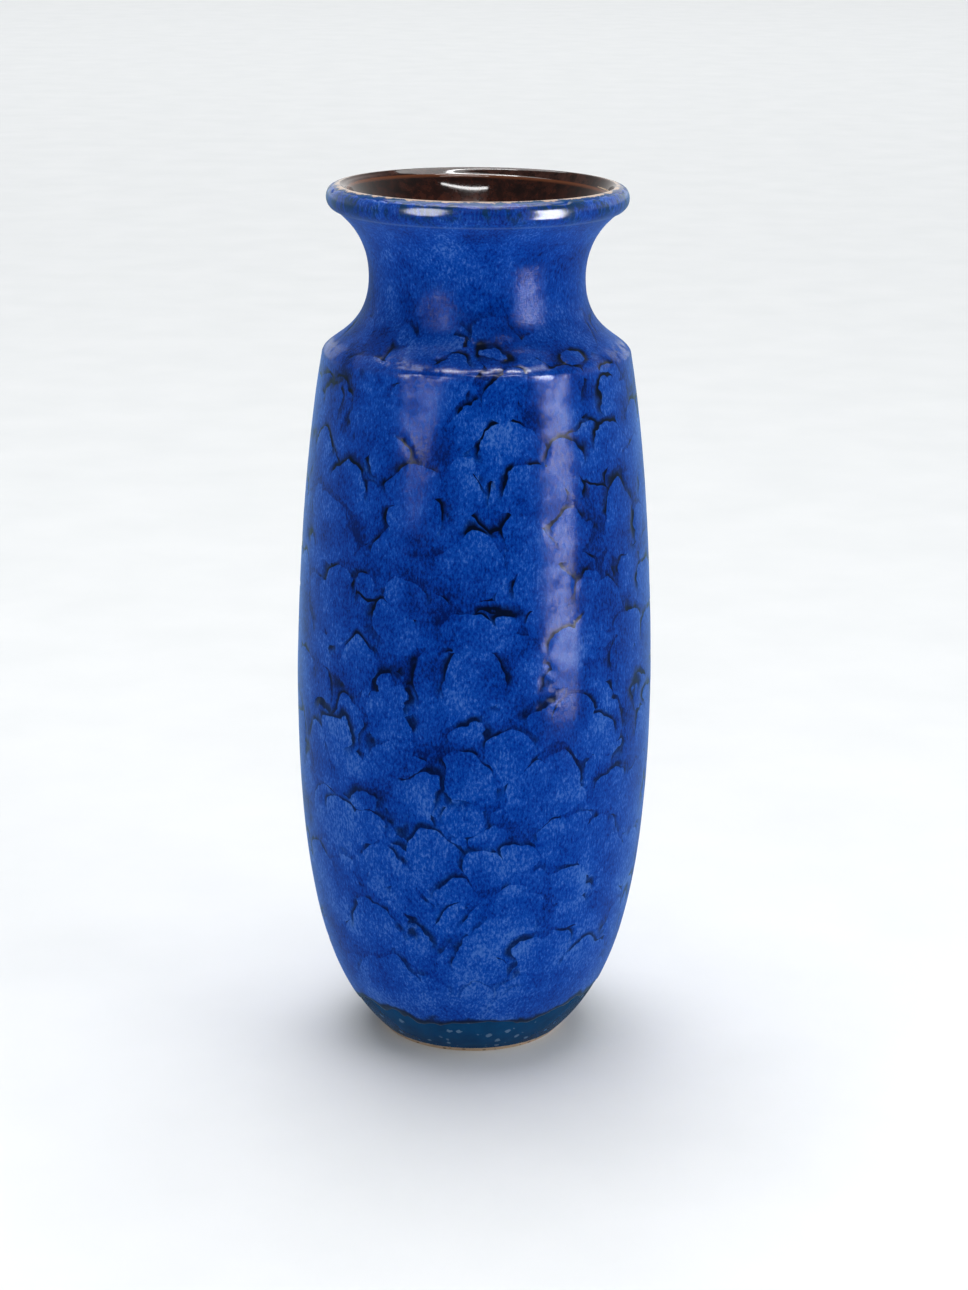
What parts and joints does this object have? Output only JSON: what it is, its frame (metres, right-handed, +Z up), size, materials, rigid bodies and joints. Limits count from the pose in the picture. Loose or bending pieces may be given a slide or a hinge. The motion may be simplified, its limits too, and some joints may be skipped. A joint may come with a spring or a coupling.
{
  "type": "stoneware vase",
  "caption": "Tall thrown stoneware vase: tapered barrel on a foot ring, crisp shoulder, waisted neck and rolled lip, layered glazes.",
  "frame": {"origin": "centre of the foot ring on the surface the vase stands on", "axes": "+Z up along the vase's own axis; the vase is round, so +X and +Y are any two level directions, and -Y is taken as its front"},
  "size_m": [0.1236, 0.1236, 0.3],
  "materials": {
    "bare_clay": "unglazed fired stoneware, fine sand texture, matt",
    "body_clay": "fired stoneware under the glaze",
    "liner_glaze": "glossy iron-brown liner glaze",
    "base_glaze": "glossy teal-navy glaze, breaking tan on the lip",
    "top_glaze": "satin-gloss cobalt blue glaze with dark crawled veins"
  },
  "bodies": {
    "root": {"foot_ring": "bare_clay", "floor_slab": "bare_clay", "barrel_wall": "body_clay", "neck_collar": "body_clay", "rim_lip": "body_clay", "liner_glaze": "liner_glaze", "base_glaze": "base_glaze", "top_glaze": "top_glaze"}
  },
  "joints": []
}
